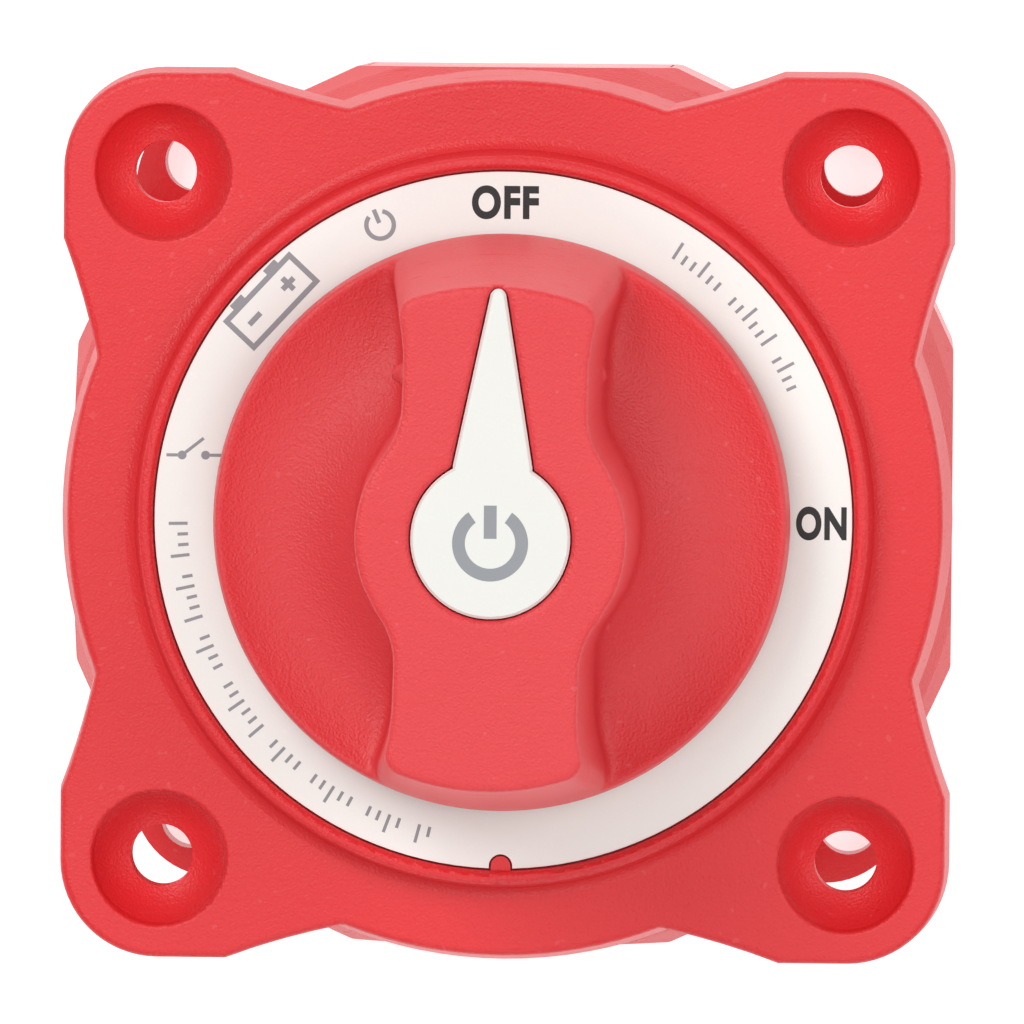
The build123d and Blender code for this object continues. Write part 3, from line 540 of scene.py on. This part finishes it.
def tickRow(target, radius, first, last, gaps, s):
    # graduations along the dial, in groups
    angle, count = first, 0
    step = s["pitch"] if last > first else -s["pitch"]
    while (angle < last) == (step > 0):
        if count not in gaps:
            mark = bmesh.new()
            tall = s["tall"] if count % 3 == 0 else s["short"]
            low = -s["tall"] / 2
            bar(mark, (0.0, low), (0.0, low + tall), s["line"])
            stamp(target, mark, atAngle(radius, angle))
        angle += step
        count += 1


def batterySign(s):
    # a battery seen from the side, with its two poles
    mark = bmesh.new()
    wide, high, line = s["batteryWide"], s["batteryHigh"], s["bold"]
    frameSize = Matrix.Diagonal((wide, high, 1.0, 1.0))
    case = bmesh.ops.create_grid(mark, x_segments=1, y_segments=1, size=0.5, matrix=frameSize)
    inner = list({f for v in case["verts"] for f in v.link_faces})
    bmesh.ops.inset_region(mark, faces=inner, thickness=line, use_boundary=True, use_even_offset=True)
    bmesh.ops.delete(mark, geom=inner, context="FACES_ONLY")
    arm = s["poleArm"]
    for x in (-wide / 4, wide / 4):
        bar(mark, (x - arm, high / 2 + line / 2), (x + arm, high / 2 + line / 2), line)
        bar(mark, (x - arm, 0.0), (x + arm, 0.0), line)
    for y in (-1, 1):
        bar(mark, (wide / 4, y * line / 2), (wide / 4, y * arm), line)
    return mark


def switchSign(s):
    # one pole switch, drawn open
    mark = bmesh.new()
    low, dot, far = s["poleLow"], s["poleDot"], s["poleFar"]
    for side in (-1, 1):
        disc(mark, (side * s["poleX"], low), dot)
        bar(mark, (side * (s["poleX"] + dot), low), (side * far, low), s["line"])
    hinge = Vector((-s["poleX"], low))
    lever = Vector((s["leverX"], s["leverY"])) - hinge
    bar(mark, hinge + lever.normalized() * dot, hinge + lever, s["line"])
    return mark


def powerSign(radius, line, gap=64.0):
    # an open ring with a stroke in the gap
    mark = bmesh.new()
    arcBand(mark, radius, line, 90.0 + gap / 2, 360.0 - gap)
    bar(mark, (0.0, 0.15 * radius), (0.0, 1.2 * radius), line)
    return mark


def makeDialPrint(s):
    bm = bmesh.new()
    tickRow(bm, s["upperRadius"], 57.5, 24.0, (6, 13), s)
    tickRow(bm, s["lowerRadius"], 181.0, 258.0, (4, 10, 15, 22, 27, 33, 38), s)
    stamp(bm, batterySign(s), atAngle(24.4 * mm, 137.0))
    stamp(bm, powerSign(1.05 * mm, 0.34 * mm), atAngle(24.5 * mm, 113.0))
    stamp(bm, switchSign(s), atAngle(24.3 * mm, 167.5, True))
    inked(bm, "dial_print", inkSet["labelTop"], greyInk, "case")


makeDialPrint(dialSet)

signSet = {"radius": 2.35 * mm, "line": 0.95 * mm}


def makePointerSign(s):
    bm = bmesh.new()
    stamp(bm, powerSign(s["radius"], s["line"], 70.0), Matrix.Translation((0.0, -0.3 * mm, 0.0)))
    inked(bm, "pointer_sign", inkSet["pointerTop"], greyInk, "knob")


makePointerSign(signSet)
print("printing made")

# studio: pale floor, soft light from the upper left, white surround

studioSet = {
    "floorSize": 3.0,
    "floorColour": (0.6, 0.6, 0.6),
    "floorGlow": 0.7,
    "surround": 0.34,
    "aim": (0.0, 0.0, 0.04),
    # place, size and power of each lamp
    "lamps": [
        ((-0.1, 0.1, 1.7), 1.8, 8.0),
        ((-0.62, 0.72, 1.15), 0.8, 8.6),
        ((0.85, 0.25, 1.0), 0.8, 4.2),
        ((0.1, -0.95, 0.95), 0.8, 3.2),
    ],
}


def makeStudio(s):
    bm = bmesh.new()
    bmesh.ops.create_grid(bm, x_segments=1, y_segments=1, size=s["floorSize"])
    mesh = bake(bm, "floor", smooth=False)
    floor = bpy.data.objects.new("floor", mesh)
    bpy.context.scene.collection.objects.link(floor)
    pale = bpy.data.materials.new("paleFloor")
    pale.use_nodes = True
    shader = pale.node_tree.nodes["Principled BSDF"]
    shader.inputs["Base Color"].default_value = (*s["floorColour"], 1.0)
    shader.inputs["Roughness"].default_value = 0.8
    shader.inputs["Emission Color"].default_value = (1.0, 1.0, 1.0, 1.0)
    shader.inputs["Emission Strength"].default_value = s["floorGlow"]
    mesh.materials.append(pale)

    world = bpy.data.worlds.new("surround")
    world.use_nodes = True
    back = world.node_tree.nodes["Background"]
    back.inputs["Color"].default_value = (1.0, 1.0, 1.0, 1.0)
    back.inputs["Strength"].default_value = s["surround"]
    bpy.context.scene.world = world

    for count, (place, size, power) in enumerate(s["lamps"]):
        data = bpy.data.lights.new(f"lamp{count}", "AREA")
        data.shape = "DISK"
        data.size = size
        data.energy = power
        lamp = bpy.data.objects.new(f"lamp{count}", data)
        bpy.context.scene.collection.objects.link(lamp)
        lamp.location = place
        lamp.rotation_euler = (Vector(s["aim"]) - Vector(place)).to_track_quat("-Z", "Y").to_euler()


makeStudio(studioSet)
bpy.context.scene.view_settings.view_transform = "Standard"
print("studio made")
